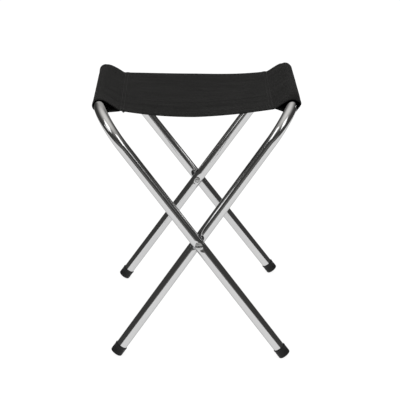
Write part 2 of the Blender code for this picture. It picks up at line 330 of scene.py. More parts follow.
def cloth_material():
    """Matt black woven polyester: plain weave, slubs, streaks, faint creases and a soft sheen."""
    s = Shader("woven_cloth")
    uv = s.uv("cloth_metres")
    weave = weave_height(s, uv)
    weft_slubs = s.grain(uv, (60.0, 2400.0), detail=2.0)
    warp_slubs = s.grain(uv, (2400.0, 60.0), detail=2.0)
    slubs = s.total((weft_slubs, 0.5), (warp_slubs, 0.5))
    cloud = s.noise(uv, 24.0, detail=4.0)
    streaks = s.math("SUBTRACT", s.grain(uv, (9.0, 260.0), detail=4.0, rough=0.6), 0.5)
    tone = s.total((weave, 0.22), (slubs, 0.55), (cloud, 0.35), (streaks, 0.55))
    s.colour(tone, (0.38, 0.0033), (0.8, 0.0198))
    s.value("Roughness", 0.85)
    s.value("Specular IOR Level", 0.17)
    s.value("Sheen Weight", 0.05)
    s.value("Sheen Roughness", 0.45)
    s.value("Sheen Tint", (0.8, 0.8, 0.8, 1.0))
    threads = s.bump(weave, distance=0.00012, strength=0.8)
    creases = s.grain(uv, (14.0, 150.0), detail=3.0)
    s.bump(creases, distance=0.0012, strength=0.55, after=threads)
    return s.material


def thread_material():
    """Twisted black sewing thread, a little glossier than the cloth."""
    s = Shader("sewing_thread")
    twist = s.noise(s.object_place(), 4000.0, detail=2.0)
    s.colour(twist, (0.3, 0.022), (0.8, 0.05))
    s.value("Roughness", 0.6)
    s.bump(twist, distance=0.00008, strength=0.8)
    return s.material


CHROME = chrome_material()
PLATED = plated_material()
SLOT_SHADE = slot_shade_material()
RUBBER = rubber_material()
NYLON = nylon_material()
FABRIC = cloth_material()
THREAD = thread_material()


# Meshes.


def scene_object(name, data):
    item = bpy.data.objects.new(name, data)
    bpy.context.scene.collection.objects.link(item)
    return item


def mesh_object(name, points, faces, material):
    mesh = bpy.data.meshes.new(name)
    mesh.from_pydata([tuple(map(float, p)) for p in points], [], [tuple(map(int, f)) for f in faces])
    mesh.materials.append(material)
    mesh.shade_smooth()
    item = scene_object(name, mesh)
    return item


def mesh_from(shape, name):
    """A new mesh with a bmesh's shape. The bmesh is freed."""
    mesh = bpy.data.meshes.new(name)
    shape.to_mesh(mesh)
    shape.free()
    return mesh


def edit(mesh, change, *values):
    """Runs change(shape, *values) on the mesh as a bmesh."""
    shape = bmesh.new()
    shape.from_mesh(mesh)
    change(shape, *values)
    shape.to_mesh(mesh)
    shape.free()


def face_outward(shape):
    bmesh.ops.recalc_face_normals(shape, faces=shape.faces)


def set_uv(item, name, u, v):
    """A UV map in metres. Together, u and v have one value for each vertex of a grid."""
    coordinates = np.stack(np.broadcast_arrays(u, v), 2).reshape(-1, 2)
    layer = item.data.uv_layers.new(name=name)
    corner = np.zeros(len(item.data.loops), np.int32)
    item.data.loops.foreach_get("vertex_index", corner)
    layer.data.foreach_set("uv", np.asarray(coordinates, np.float32)[corner].ravel())


def grid_faces(rows, columns, closed=False):
    faces = []
    for i in range(rows - 1):
        low, high = i * columns, (i + 1) * columns
        for j in range(columns if closed else columns - 1):
            k = (j + 1) % columns
            faces.append((low + j, low + k, high + k, high + j))
    return faces


def apply_modifiers(item):
    graph = bpy.context.evaluated_depsgraph_get()
    graph.update()
    mesh = bpy.data.meshes.new_from_object(item.evaluated_get(graph))
    item.modifiers.clear()
    item.data = mesh


def cut(item, shape):
    """Takes the shape, a closed bmesh, out of the item."""
    cutter = scene_object("cutter", mesh_from(shape, "cutter"))
    item.modifiers.new("cut", "BOOLEAN").object = cutter
    apply_modifiers(item)
    bpy.data.objects.remove(cutter, do_unlink=True)


def run_length(path):
    """Distance along the path to each of its points."""
    return np.concatenate([[0.0], np.cumsum(np.linalg.norm(np.diff(path, axis=0), axis=1))])


# Frames: each tube's route is drawn flat as (across, up) and tipped by the frame's lean.

TUBE_SIDES = 64
LEG_STATIONS = 18
PRESS_STATIONS = 57
BEND_STATIONS = 48
BAR_STATIONS = 6


def bar_half_length(half_width):
    """Half of the top bar's straight part, between the bends."""
    return half_width - SPLAY * BAR_REACH - BEND_TANGENT


def tube_stations(half_width):
    """(across, up) of one leg from its foot end to the middle of the top bar, +Y side."""
    straight = bar_half_length(half_width)
    bend_up = BAR_REACH - BEND_RADIUS
    bend_start = bend_up + BEND_RADIUS * math.sin(SPLAY_ANGLE)
    ups = [
        *np.linspace(-FOOT_REACH + TUBE_END, -PRESS_REACH, LEG_STATIONS)[:-1],
        *np.linspace(-PRESS_REACH, PRESS_REACH, PRESS_STATIONS),
        *np.linspace(PRESS_REACH, bend_start, LEG_STATIONS)[1:-1],
    ]
    route = [(half_width - SPLAY * up, up) for up in ups]
    for angle in np.linspace(SPLAY_ANGLE, math.pi / 2, BEND_STATIONS):
        route.append((straight + BEND_RADIUS * math.cos(angle), bend_up + BEND_RADIUS * math.sin(angle)))
    route += [(across, BAR_REACH) for across in np.linspace(straight, 0.0, BAR_STATIONS)[1:]]
    return np.array(route)


def tube_route(half_width):
    """(across, up) of the whole U, from the front foot's end to the rear foot's end."""
    rear = tube_stations(half_width)
    front = rear * np.array([-1.0, 1.0])
    return np.concatenate([front, rear[::-1][1:]])


def tube_skin(route, angles):
    """Points (across, up, out) of a round tube: one ring for each station of its route."""
    step = np.gradient(route, axis=0)
    step /= np.linalg.norm(step, axis=1)[:, None]
    beside = np.stack([step[:, 1], -step[:, 0]], 1)
    skin = np.zeros((len(route), len(angles), 3))
    skin[:, :, :2] = route[:, None] + TUBE_RADIUS * np.cos(angles)[None, :, None] * beside[:, None]
    skin[:, :, 2] = TUBE_RADIUS * np.sin(angles)[None, :]
    return skin.reshape(-1, 3)


def tipped(flat, lean_sign):
    """Points (across, up, out) of a frame's own plane as places in the scene."""
    across, up, out = flat[:, 0], flat[:, 1], flat[:, 2]
    x = lean_sign * (up * math.sin(LEAN) + out * math.cos(LEAN))
    z = PIVOT.z + up * math.cos(LEAN) - out * math.sin(LEAN)
    return np.stack([x, across, z], 1)


def press_plane(along, flat_half, run, depth):
    """Height over the tube's axis of a press: flat round the pivot, then clear of the tube."""
    fade = smooth_step((along - flat_half) / run)
    return TUBE_RADIUS - depth + fade * (depth + PRESS_CLEAR)


def pressed(points, half_width, mating_side):
    """Softly flattens the tube at its pivots, and dimples it under the screw or nut."""
    hand = np.where(points[:, 1] > 0.0, 1.0, -1.0)
    along = np.hypot(points[:, 0], points[:, 2] - PIVOT.z)
    near = along < PRESS_REACH
    away = (np.abs(points[:, 1]) - half_width) * mating_side
    mating = press_plane(along, FLAT_HALF, FLAT_RUN, FLAT_DEPTH)
    fastener = press_plane(along, HEAD_RADIUS, SEAT_RUN, SEAT_DEPTH)
    k = PRESS_SOFTNESS
    flat = -k * np.logaddexp(-away / k, -mating / k)
    flat = k * np.logaddexp(flat / k, -fastener / k)
    result = points.copy()
    result[near, 1] = (hand * (half_width + flat * mating_side))[near]
    return result


def face_away(shape, bar_middle):
    """Flips the faces if those round the top bar point at its axis."""
    top = max(shape.faces, key=lambda f: f.calc_center_median().z - abs(f.calc_center_median().y))
    if top.normal.dot(top.calc_center_median() - bar_middle) < 0.0:
        bmesh.ops.reverse_faces(shape, faces=shape.faces)


def drill(item, centre_y):
    """Cuts a screw hole through the tube along Y."""
    shape = bmesh.new()
    bmesh.ops.create_cone(
        shape,
        cap_ends=True,
        segments=32,
        radius1=HOLE_RADIUS,
        radius2=HOLE_RADIUS,
        depth=DRILL_LENGTH,
        matrix=Matrix.Translation(on_pivot(centre_y)) @ Matrix.Rotation(math.pi / 2, 4, "X"),
    )
    cut(item, shape)


def make_tube(name, half_width, lean_sign, mating_side, body):
    route = tube_route(half_width)
    angles = np.linspace(0.0, 2.0 * math.pi, TUBE_SIDES, endpoint=False)
    skin = pressed(tipped(tube_skin(route, angles), lean_sign), half_width, mating_side)
    faces = grid_faces(len(route), TUBE_SIDES, closed=True)
    tube = mesh_object(name + "_chromed", skin, faces, CHROME)
    round_it = np.minimum(angles, 2.0 * math.pi - angles) * TUBE_RADIUS
    set_uv(tube, "lengthwise", run_length(route)[:, None], round_it[None])
    edit(tube.data, face_away, Vector((lean_sign * BAR_X, 0.0, BAR_Z)))
    wall = tube.modifiers.new("wall", "SOLIDIFY")
    wall.thickness = TUBE_WALL
    wall.offset = -1.0
    for _, hand in HANDS:
        drill(tube, hand * half_width)
    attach(tube, body)
    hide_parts(name)


# Turned pieces: a profile of (radius, height), up any bore and down the outside.

TURNED_SIDES = 72


def arc(centre, radius, start, stop, count):
    """Points of an arc. Its start and stop are in degrees."""
    turns = np.radians(np.linspace(start, stop, count))
    return [(centre[0] + radius * math.cos(a), centre[1] + radius * math.sin(a)) for a in turns]


def revolved(profile, closed):
    """Points and faces of a profile turned round Z. A ring of no radius is one point."""
    points, rings = [], []
    for radius, height in profile:
        start = len(points)
        if radius == 0.0:
            points.append((0.0, 0.0, height))
            rings.append([start] * TURNED_SIDES)
            continue
        for i in range(TURNED_SIDES):
            angle = 2.0 * math.pi * i / TURNED_SIDES
            points.append((radius * math.cos(angle), radius * math.sin(angle), height))
        rings.append(list(range(start, len(points))))
    if closed:
        rings.append(rings[0])
    faces = []
    for low, high in zip(rings, rings[1:]):
        for i in range(TURNED_SIDES):
            k = (i + 1) % TURNED_SIDES
            corners = [low[i], high[i], high[k], low[k]]
            face = [c for n, c in enumerate(corners) if c != corners[n - 1]]
            if len(face) > 2:
                faces.append(face)
    return points, faces


def turned(name, profile, origin, direction, material, closed=False):
    """An object turned round the axis through origin. Its points are in world space."""
    points, faces = revolved(profile, closed)
    place = Matrix.Translation(origin) @ direction.to_track_quat("Z", "Y").to_matrix().to_4x4()
    item = mesh_object(name, [place @ Vector(p) for p in points], faces, material)
    edit(item.data, face_outward)
    item.data.set_sharp_from_angle(angle=SHARP_ANGLE)
    return item


# Rubber caps. Heights are along the leg, from the cap's underside.
CAP_RADIUS = 0.01045
CAP_LENGTH = 0.017
CAP_BASE = 0.004
CAP_EDGE = 0.0022
CAP_WAIST = 0.007
SOCKET_GAP = 0.0001
LIP_GAP = 0.00004
LIP_HEIGHT = 0.0008
LIP_ROUND = 0.0004
COLLAR_RISE = 0.0002
COLLAR_ROUND = 0.0004
COLLAR_HEIGHT = 0.0024
NECK_DEPTH = 0.0001
NECK_START = 0.0003
NECK_END = 0.0005
GROOVE_RADII = (0.0070, 0.0048, 0.0026)
GROOVE_WIDTH = 0.001
GROOVE_DEPTH = 0.0005
GROOVE_SLOPE = 0.0002


def cap_socket():
    """Inside of the cap: its floor, the wall round the tube and the tight lip."""
    lip = TUBE_RADIUS + LIP_GAP
    return [
        (0.0, CAP_BASE),
        (TUBE_RADIUS + SOCKET_GAP, CAP_BASE),
        (lip, CAP_LENGTH - LIP_HEIGHT),
        (lip + LIP_ROUND / 2, CAP_LENGTH - LIP_ROUND / 4),
        (lip + LIP_ROUND, CAP_LENGTH),
    ]


def cap_outside():
    """Outside of the cap: the collar, a slight neck under it and the rounded foot."""
    collar = CAP_RADIUS + COLLAR_RISE
    under = CAP_LENGTH - COLLAR_HEIGHT
    profile = arc((collar - COLLAR_ROUND, CAP_LENGTH - COLLAR_ROUND), COLLAR_ROUND, 90.0, 0.0, 5)
    profile += [(collar, under), (CAP_RADIUS + NECK_DEPTH / 2, under - NECK_START)]
    profile += [(CAP_RADIUS - NECK_DEPTH, under - NECK_END), (CAP_RADIUS, CAP_WAIST)]
    return profile + arc((CAP_RADIUS - CAP_EDGE, CAP_EDGE), CAP_EDGE, 0.0, -90.0, 10)


def cap_tread():
    """Underside of the cap: round grooves, from the outermost to the middle."""
    profile = []
    for outer in GROOVE_RADII:
        inner = outer - GROOVE_WIDTH
        profile += [(outer, 0.0), (outer - GROOVE_SLOPE, GROOVE_DEPTH)]
        profile += [(inner + GROOVE_SLOPE, GROOVE_DEPTH), (inner, 0.0)]
    return profile + [(0.0, 0.0)]


def frame_point(across, up, lean_sign):
    return Vector(tipped(np.array([[across, up, 0.0]]), lean_sign)[0])


def make_foot(name, half_width, lean_sign, hand, body):
    end = frame_point(hand * (half_width + SPLAY * FOOT_REACH), -FOOT_REACH, lean_sign)
    leg = frame_point(hand * half_width, 0.0, lean_sign) - end
    profile = cap_socket() + cap_outside() + cap_tread()
    foot = turned(name + "_moulded", profile, end, leg, RUBBER)
    for vertex in foot.data.vertices:
        vertex.co.z = max(vertex.co.z, 0.0)
    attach(foot, body)
    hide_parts(name)


# Pivot hardware.


def on_pivot(y):
    """The point of the pivot axis at y."""
    return Vector((0.0, y, PIVOT.z))


def ends_of(node, hand):
    """The y of a node's end toward the middle of the stool, and of its end away from it."""
    low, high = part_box(node)
    return (low.y, high.y) if hand > 0.0 else (high.y, low.y)


def radius_of(node):
    low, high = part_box(node)
    return (high.x - low.x) / 2


def screw_profile(shank):
    """A plain shank, whose tip is at height 0, and a domed head on it."""
    crown = HEAD_HEIGHT - HEAD_RIM
    profile = [(0.0, shank + HEAD_HEIGHT)]
    for angle in np.linspace(math.pi / 2, 0.0, 14)[1:]:
        profile.append((HEAD_RADIUS * math.cos(angle), shank + HEAD_RIM + crown * math.sin(angle)))
    profile += [(HEAD_RADIUS, shank + CHAMFER), (HEAD_RADIUS - CHAMFER, shank), (SCREW_RADIUS, shank)]
    profile += [(SCREW_RADIUS, TIP_CHAMFER), (SCREW_RADIUS - TIP_CHAMFER, 0.0), (0.0, 0.0)]
    return profile


def cut_slot(screw, top):
    shape = bmesh.new()
    size = Matrix.Diagonal((SLOT_LENGTH, 2.0 * SLOT_DEPTH, SLOT_WIDTH, 1.0))
    bmesh.ops.create_cube(shape, size=1.0, matrix=Matrix.Translation(on_pivot(top)) @ size)
    cut(screw, shape)
    screw.data.set_sharp_from_angle(angle=SHARP_ANGLE)


def bevel_edges(screw):
    edges = screw.modifiers.new("edges", "BEVEL")
    edges.width = SLOT_BEVEL
    edges.segments = 2
    edges.limit_method = "ANGLE"
    edges.angle_limit = SHARP_ANGLE
    apply_modifiers(screw)
    edit(screw.data, weld)


def weld(shape):
    """Joins corners that the bevel left on top of each other."""
    bmesh.ops.remove_doubles(shape, verts=shape.verts, dist=WELD_DISTANCE)
    bmesh.ops.dissolve_degenerate(shape, edges=shape.edges, dist=WELD_DISTANCE / 2)


def darken_slot(screw, top):
    """Gives the painted slot shade, a dark material in place of the shade in the recess, to the slot's
    floor and walls.
    """
    screw.data.materials.append(SLOT_SHADE)
    for face in screw.data.polygons:
        depth = abs(abs(face.center.y) - abs(top))
        aside = abs(face.center.z - PIVOT.z)
        if depth < SLOT_DEPTH + FLOOR_MARGIN and aside < SLOT_WIDTH / 2 + WALL_MARGIN:
            face.material_index = 1


def make_screw(side, hand):
    name = f"pivot_screw_{side}"
    tip, top = ends_of(name, hand)
    profile = screw_profile(abs(top - tip) - HEAD_HEIGHT)
    outward = Vector((0.0, hand, 0.0))
    screw = turned(name + "_plated", profile, on_pivot(tip), outward, PLATED)
    cut_slot(screw, top)
    bevel_edges(screw)
    darken_slot(screw, top)
    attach(screw, "outer_frame")
    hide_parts(name)


def make_nut(side, hand):
    name = f"pivot_nut_{side}"
    top, seat = ends_of(name, hand)
    height = abs(top - seat)
    radius = radius_of(name)
    bore = SCREW_RADIUS + NUT_CLEARANCE
    profile = [(bore, 0.0), (bore, height - NUT_CHAMFER), (bore + NUT_CHAMFER, height)]
    profile += arc((radius - NUT_ROUND, height - NUT_ROUND), NUT_ROUND, 90.0, 0.0, 8)
    profile += [(radius, CHAMFER), (radius - CHAMFER, 0.0)]
    inward = Vector((0.0, -hand, 0.0))
    place = on_pivot(seat)
    nut = turned(name + "_plated", profile, place, inward, PLATED, closed=True)
    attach(nut, "outer_frame")
    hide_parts(name)


def make_spacer(side, hand):
    name = f"pivot_spacer_{side}"
    start, stop = ends_of(name, hand)
    thick = abs(stop - start)
    rounding = radius_of(name) - SPACER_ROUND
    profile = [(HOLE_RADIUS, 0.0), (HOLE_RADIUS, thick)]
    profile += arc((rounding, thick - SPACER_ROUND), SPACER_ROUND, 90.0, 0.0, 4)
    profile += arc((rounding, SPACER_ROUND), SPACER_ROUND, 0.0, -90.0, 4)
    outward = Vector((0.0, hand, 0.0))
    place = on_pivot(start)
    spacer = turned(name + "_moulded", profile, place, outward, NYLON, closed=True)
    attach(spacer, "outer_frame")
    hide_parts(name)


# Seat cloth. One strip runs from under the panel's left seam, round the left bar, across,
# round the right bar and back. Sleeve sections are (inward, up) from the bar's axis.

LAP_POINTS = 7
SLEEVE_POINTS = 150
PANEL_POINTS = 150
PANEL_START = LAP_POINTS + SLEEVE_POINTS
BAR_POINTS = 96
SEAM_POINTS = 12
MAIN_ROWS = 96
HEM_ROWS = 6
TURN_TOLERANCE = 1e-12
DOWNHILL = (math.sin(LEAN), -math.cos(LEAN))

# How a sleeve lies on its bar. A run is the distance over which an effect fades.
SLEEVE_GAP = 0.0007
FLARE = 0.0005
FLARE_RUN = 0.014
END_RUN = 0.045
SETTLE = 0.65
SETTLE_START = 0.1
SETTLE_SPAN = 0.8
FREE_START = 0.2
FRONT_RISE = 0.0012
REAR_RISE_START = 0.02
REAR_RISE_RUN = 0.08
BELLY_HALF = 0.06
BELLY_RUN = 0.05
SLEEVE_ROUNDS = 5
SEAM_SPREAD = 9
SEAM_ROUNDS = 6

# The two sleeves differ a little, as they do in the photo. A lower swell power puts the
# loosest part of the sleeve nearer its bar.
LEFT_SLEEVE = {
    "lean_sign": -1.0,
    "half_width": OUTER_HALF_WIDTH,
    "rear_settle": 0.0,
    "swell_power": 0.75,
    "rear_rise": 0.0024,
    "belly": 0.0022,
}
RIGHT_SLEEVE = {
    "lean_sign": 1.0,
    "half_width": INNER_HALF_WIDTH,
    "rear_settle": 0.3,
    "swell_power": 0.5,
    "rear_rise": 0.002,
    "belly": 0.0045,
}

# Creases: waves in a metre of x and of y, height, and a seed. Slack is broader.
CREASES = ((7.0, 42.0, 0.00055, 3.1), (16.0, 95.0, 0.00022, 8.7))
SLACK_WAVES_X = 11.0
SLACK_WAVES_Y = 13.0
SLACK_HEIGHT = 0.0009
SLACK_SEED = 5.5
BAR_TENSION = 0.8
TENSION_START = 0.012
TENSION_RUN = 0.01
LAP_EDGE_RUN = 0.002


def ring(centre, radius, stretch, count):
    """Points round a circle that is stretched downhill."""
    angle = np.linspace(0.0, 2.0 * math.pi, count, endpoint=False)
    along = radius * stretch * np.cos(angle)
    beside = radius * np.sin(angle)
    inward = centre[0] + along * DOWNHILL[0] - beside * DOWNHILL[1]
    up = centre[1] + along * DOWNHILL[1] + beside * DOWNHILL[0]
    return np.stack([inward, up], 1)


def taut_outline(points):
    """The shortest loop round the points, anticlockwise."""
    outline = []
    rows = sorted(map(tuple, points))
    for ordered in (rows, rows[::-1]):
        chain = []
        for p in ordered:
            while len(chain) > 1:
                a, b = chain[-2], chain[-1]
                turn = (b[0] - a[0]) * (p[1] - a[1]) - (b[1] - a[1]) * (p[0] - a[0])
                if turn > TURN_TOLERANCE:
                    break
                chain.pop()
            chain.append(p)
        outline += chain[:-1]
    return np.array(outline)


def resampled(path, count):
    length = run_length(path)
    even = np.linspace(0.0, length[-1], count)
    return np.stack([np.interp(even, length, path[:, k]) for k in range(path.shape[1])], 1)


def relaxed(path, rounds):
    """Rounds a path's corners by averaging neighbours; its ends stay."""
    for _ in range(rounds):
        path[1:-1] = 0.25 * path[:-2] + 0.5 * path[1:-1] + 0.25 * path[2:]
    return path


def panel_height(x, y):
    """Height of the panel's surface; its seams and its middle hang lower at the front."""
    rearward = (y + SEAT_HALF_WIDTH) / (2.0 * SEAT_HALF_WIDTH)
    seam_drop = FRONT_SEAM_DROP + (REAR_SEAM_DROP - FRONT_SEAM_DROP) * rearward
    sag = FRONT_SAG + (REAR_SAG - FRONT_SAG) * rearward
    right = np.maximum(x / SEAM_X, 0.0)
    left = np.maximum(-x / SEAM_X, 0.0)
    right_skew = FRONT_RIGHT_SKEW + (REAR_RIGHT_SKEW - FRONT_RIGHT_SKEW) * rearward
    skew = 1.0 + right * right_skew + left * REAR_LEFT_SKEW * rearward
    seam_drop = seam_drop + REAR_RIGHT_DROP * right * rearward
    return BAR_Z - seam_drop - sag * skew * (1.0 - (x / SEAM_X) ** 2)


def tube_drop(half_width, y):
    """How far the tube has bent away from the bar's line at y, and its stretch there."""
    angle = math.asin(max(0.0, abs(y) - bar_half_length(half_width)) / BEND_RADIUS)
    return BEND_RADIUS * (1.0 - math.cos(angle)), 1.0 / math.cos(angle)


def near_end(inset, run):
    """1 at an end of the seat, fading to 0 at a run from it."""
    return smooth_step(1.0 - inset / run)


def settled_bar(y, side, radius, fall):
    """The bar's ring. Near the seat's ends its top settles toward the bending tube."""
    bar = ring((0.0, 0.0), radius, 1.0, BAR_POINTS)
    front = near_end(y + SEAT_HALF_WIDTH, END_RUN)
    rear = near_end(SEAT_HALF_WIDTH - y, END_RUN)
    top = smooth_step((bar[:, 1] / radius + SETTLE_START) / SETTLE_SPAN)
    settle = top * (front + side["rear_settle"] * rear)
    return bar + settle[:, None] * fall * SETTLE


def opened(loop, seam_z):
    """Starts and ends an anticlockwise loop at the seam, from its lower to its upper layer."""
    loop = loop[::-1]
    loop = np.roll(loop, -int(np.argmax(loop[:, 0])), axis=0)
    off_seam = np.hypot(loop[:, 0] - SEAM_OFFSET, loop[:, 1] - seam_z) > LAYER
    lower = [[SEAM_OFFSET, seam_z - LAYER / 2]]
    upper = [[SEAM_OFFSET, seam_z + LAYER / 2]]
    return np.concatenate([lower, loop[off_seam], upper])


def slack(path, y, side, free):
    """Lift of the cloth between bar and seam: its top stands up and its underside hangs."""
    reach = np.clip((path[:, 0] - free) / (SEAM_OFFSET - free), 0.0, 1.0)
    swell = np.sin(math.pi * reach ** side["swell_power"])
    front_rise = FRONT_RISE * near_end(y + SEAT_HALF_WIDTH, END_RUN)
    rise = front_rise + side["rear_rise"] * smooth_step((y - REAR_RISE_START) / REAR_RISE_RUN)
    belly = -side["belly"] * (1.0 - smooth_step((abs(y) - BELLY_HALF) / BELLY_RUN))
    above = np.arange(len(path)) > len(path) / 2
    return swell * np.where(above, rise, belly)


def sleeve_section(y, side):
    """Surface of one sleeve from its lower seam, round the bar, to its upper seam."""
    drop, stretch = tube_drop(side["half_width"], y)
    fall = np.array(DOWNHILL) * drop
    flare = FLARE * near_end(SEAT_HALF_WIDTH - abs(y), FLARE_RUN)
    radius = TUBE_RADIUS + SLEEVE_GAP + flare
    seam_z = panel_height(side["lean_sign"] * SEAM_X, y) - LAYER / 2 - BAR_Z
    held = [
        settled_bar(y, side, radius, fall),
        ring(fall, radius, stretch, BAR_POINTS),
        ring((SEAM_OFFSET, seam_z), LAYER / 2, 1.0, SEAM_POINTS),
    ]
    path = opened(taut_outline(np.concatenate(held)), seam_z)
    path = resampled(path, SLEEVE_POINTS)
    path[:, 1] += slack(path, y, side, fall[0] + FREE_START * radius)
    return relaxed(path, SLEEVE_ROUNDS)


def strip_end(y, side):
    """(x, z) along the underlap and the sleeve at one end of the strip."""
    lap_x = np.linspace(SEAM_X - UNDERLAP, SEAM_X, LAP_POINTS + 1)[:-1]
    lap = np.stack([lap_x, panel_height(side["lean_sign"] * lap_x, y) - LAYER], 1)
    loop = sleeve_section(y, side)
    loop = np.stack([BAR_X - loop[:, 0], BAR_Z + loop[:, 1]], 1)
    end = np.concatenate([lap, loop])
    end[:, 0] *= side["lean_sign"]
    return end


def cloth_section(y):
    """(x, z) along the whole strip at one y, from left underlap to right underlap."""
    panel_x = np.linspace(-SEAM_X, SEAM_X, PANEL_POINTS)[1:-1]
    panel = np.stack([panel_x, panel_height(panel_x, y)], 1)
    strip = np.concatenate([strip_end(y, LEFT_SLEEVE), panel, strip_end(y, RIGHT_SLEEVE)[::-1]])
    for at in (PANEL_START, len(strip) - PANEL_START):
        near = slice(at - SEAM_SPREAD, at + SEAM_SPREAD)
        strip[near] = relaxed(strip[near].copy(), SEAM_ROUNDS)
    return strip


def strip_places():
    """Distance across the cloth of each point of the strip, 0 at the strip's middle."""
    length = run_length(cloth_section(0.0))
    return length - length[-1] / 2


def wrinkle(x, y):
    """Height of the fine tension creases, which run from bar to bar, and of a little slack."""
    value = 0.0
    for waves_x, waves_y, height, seed in CREASES:
        value += height * noise.noise(Vector((x * waves_x + seed, y * waves_y, seed)))
    loose = noise.noise(Vector((x * SLACK_WAVES_X, y * SLACK_WAVES_Y, SLACK_SEED)))
    return value + SLACK_HEIGHT * loose


def surface_lift(points):
    """How far creases, and the seam allowance under the panel, push each point outward."""
    last = points.shape[1] - 1
    lift = np.zeros(points.shape[:2])
    for row, section in enumerate(points):
        for i, (x, y, _) in enumerate(section):
            tension = BAR_TENSION * smooth_step((abs(x) - BAR_X + TENSION_START) / TENSION_RUN)
            lift[row, i] = wrinkle(x, y) * (1.0 - tension)
            if PANEL_START < i < last - PANEL_START:
                over_lap = smooth_step((abs(x) - SEAM_X + UNDERLAP) / LAP_EDGE_RUN)
                lift[row, i] += LAP_RIDGE * over_lap
    # The underlap's outward side faces down, so it follows the panel with the sign turned.
    lift[:, :LAP_POINTS] *= -1.0
    lift[:, -LAP_POINTS:] *= -1.0
    return lift


def surface(ys):
    """Points and outward normals of the outside layer, a row for each y."""
    points = np.array([[(x, y, z) for x, z in cloth_section(y)] for y in ys])
    across = np.gradient(points, axis=1)
    across /= np.linalg.norm(across, axis=2)[:, :, None]
    normals = np.stack([-across[:, :, 2], np.zeros(across.shape[:2]), across[:, :, 0]], 2)
    return points + normals * surface_lift(points)[:, :, None], normals


def cloth_rows():
    """(y, fold) stations: fold is 0 on the outside layer and 1 on the hem's inner layer."""
    half = LAYER / 2
    turns = np.linspace(math.pi, 0.0, 7)[1:-1]
    rim = [(half * (1.0 - math.sin(a)), (1.0 - math.cos(a)) / 2) for a in turns]
    edge = [(inset, 1.0) for inset in np.linspace(HEM_WIDTH, half, HEM_ROWS)] + rim
    front = [(-SEAT_HALF_WIDTH + inset, fold) for inset, fold in edge]
    rear = [(SEAT_HALF_WIDTH - inset, fold) for inset, fold in edge]
    main = np.linspace(-SEAT_HALF_WIDTH + half, SEAT_HALF_WIDTH - half, MAIN_ROWS)
    return front + [(y, 0.0) for y in main] + rear[::-1]


def make_cloth():
    places = strip_places()
    rows = np.array(cloth_rows())
    points, normals = surface(rows[:, 0])
    points -= normals * (LAYER * rows[:, 1])[:, None, None]
    faces = grid_faces(len(rows), len(places))
    cloth = mesh_object("seat_cloth", points.reshape(-1, 3), faces, FABRIC)
    set_uv(cloth, "cloth_metres", places[None], rows[:, :1])
    skin = cloth.modifiers.new("thickness", "SOLIDIFY")
    skin.thickness = CLOTH
    skin.offset = 0.0
    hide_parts("seat_panel", "seat_sleeve_left", "seat_sleeve_right")
    span(cloth)
    return cloth, places


def span(item):
    """Bakes the item's place into its mesh. The cloth and what is sewn to it hang between the two bars.
    """
    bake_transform(item)


# Stitching: rows of separate stitches, each a small rounded bead of thread.

BEAD_ROWS = 7
BEAD_SIDES = 8
BEAD_TAPER = 0.6
STITCH_PITCH = 0.0031
STITCH_SIZE = np.array([0.0024, 0.00062, 0.00062 * 0.8])
STITCH_REACH = 0.0008
STITCH_LIFT = 0.00008
END_MARGIN = 0.0015

# A thread end at the front of the left seam. The tail's axes aim it down from the knot.
KNOT_SIZE = np.array([0.0042, 0.0016, 0.0020])
KNOT_SHIFT = np.array([0.0, -0.0012, -0.0010])
TAIL_SIZE = np.array([0.0030, 0.0006, 0.0006])
TAIL_AXES = np.array([[0.25, -0.2, -0.95], [0.0, 1.0, 0.0], [0.97, 0.0, 0.25]])
TAIL_SHIFT = np.array([0.0004, 0.0, -0.0014])


def bead():
    """A unit stitch: length 1 along x, width 1 along y, height 1 along z."""
    points = []
    for i in range(BEAD_ROWS):
        a = math.pi * (i + 0.5) / BEAD_ROWS
        size = math.sin(a) ** BEAD_TAPER
        for j in range(BEAD_SIDES):
            b = 2.0 * math.pi * j / BEAD_SIDES
            points.append((-0.5 * math.cos(a), 0.5 * size * math.cos(b), 0.5 * size * math.sin(b)))
    faces = grid_faces(BEAD_ROWS, BEAD_SIDES, closed=True)
    faces.append(tuple(range(BEAD_SIDES)))
    faces.append(tuple(range(len(points) - BEAD_SIDES, len(points)))[::-1])
    return np.array(points), faces


BEAD_POINTS, BEAD_FACES = bead()


def unit(vector):
    return vector / np.linalg.norm(vector)


def value_at(values, length, at):
    """A point or normal at a distance along a path."""
    return np.array([np.interp(at, length, values[:, k]) for k in range(3)])


def stitch_points(path, normals, lift):
    """World points of the stitches along a path, on its outward side."""
    length = run_length(path)
    stitches = []
    for n in range(int(length[-1] / STITCH_PITCH)):
        at = (n + 0.5) * STITCH_PITCH
        out = unit(value_at(normals, length, at))
        ahead = value_at(path, length, at + STITCH_REACH)
        along = unit(ahead - value_at(path, length, at - STITCH_REACH))
        axes = np.stack([along, np.cross(out, along), out])
        middle = value_at(path, length, at)
        stitches.append(BEAD_POINTS * STITCH_SIZE @ axes + middle + out * lift)
    return stitches


def knot_points(place):
    """A back-tacked thread end: a short fat knot and a snipped tail that hangs from it."""
    knot = BEAD_POINTS * KNOT_SIZE
    tail = BEAD_POINTS * TAIL_SIZE @ TAIL_AXES + TAIL_SHIFT
    return [knot + place, tail + place]


def make_stitches(node, tracks, knots=()):
    """One row of stitches, which stands for the frame's plain thread."""
    beads = [points for track in tracks for points in stitch_points(*track)]
    beads += [points for knot in knots for points in knot_points(knot)]
    faces = []
    for n in range(len(beads)):
        faces += [tuple(n * len(BEAD_POINTS) + corner for corner in face) for face in BEAD_FACES]
    row = mesh_object(node + "_stitches", np.concatenate(beads), faces, THREAD)
    edit(row.data, face_outward)
    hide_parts(node)
    span(row)
    return row


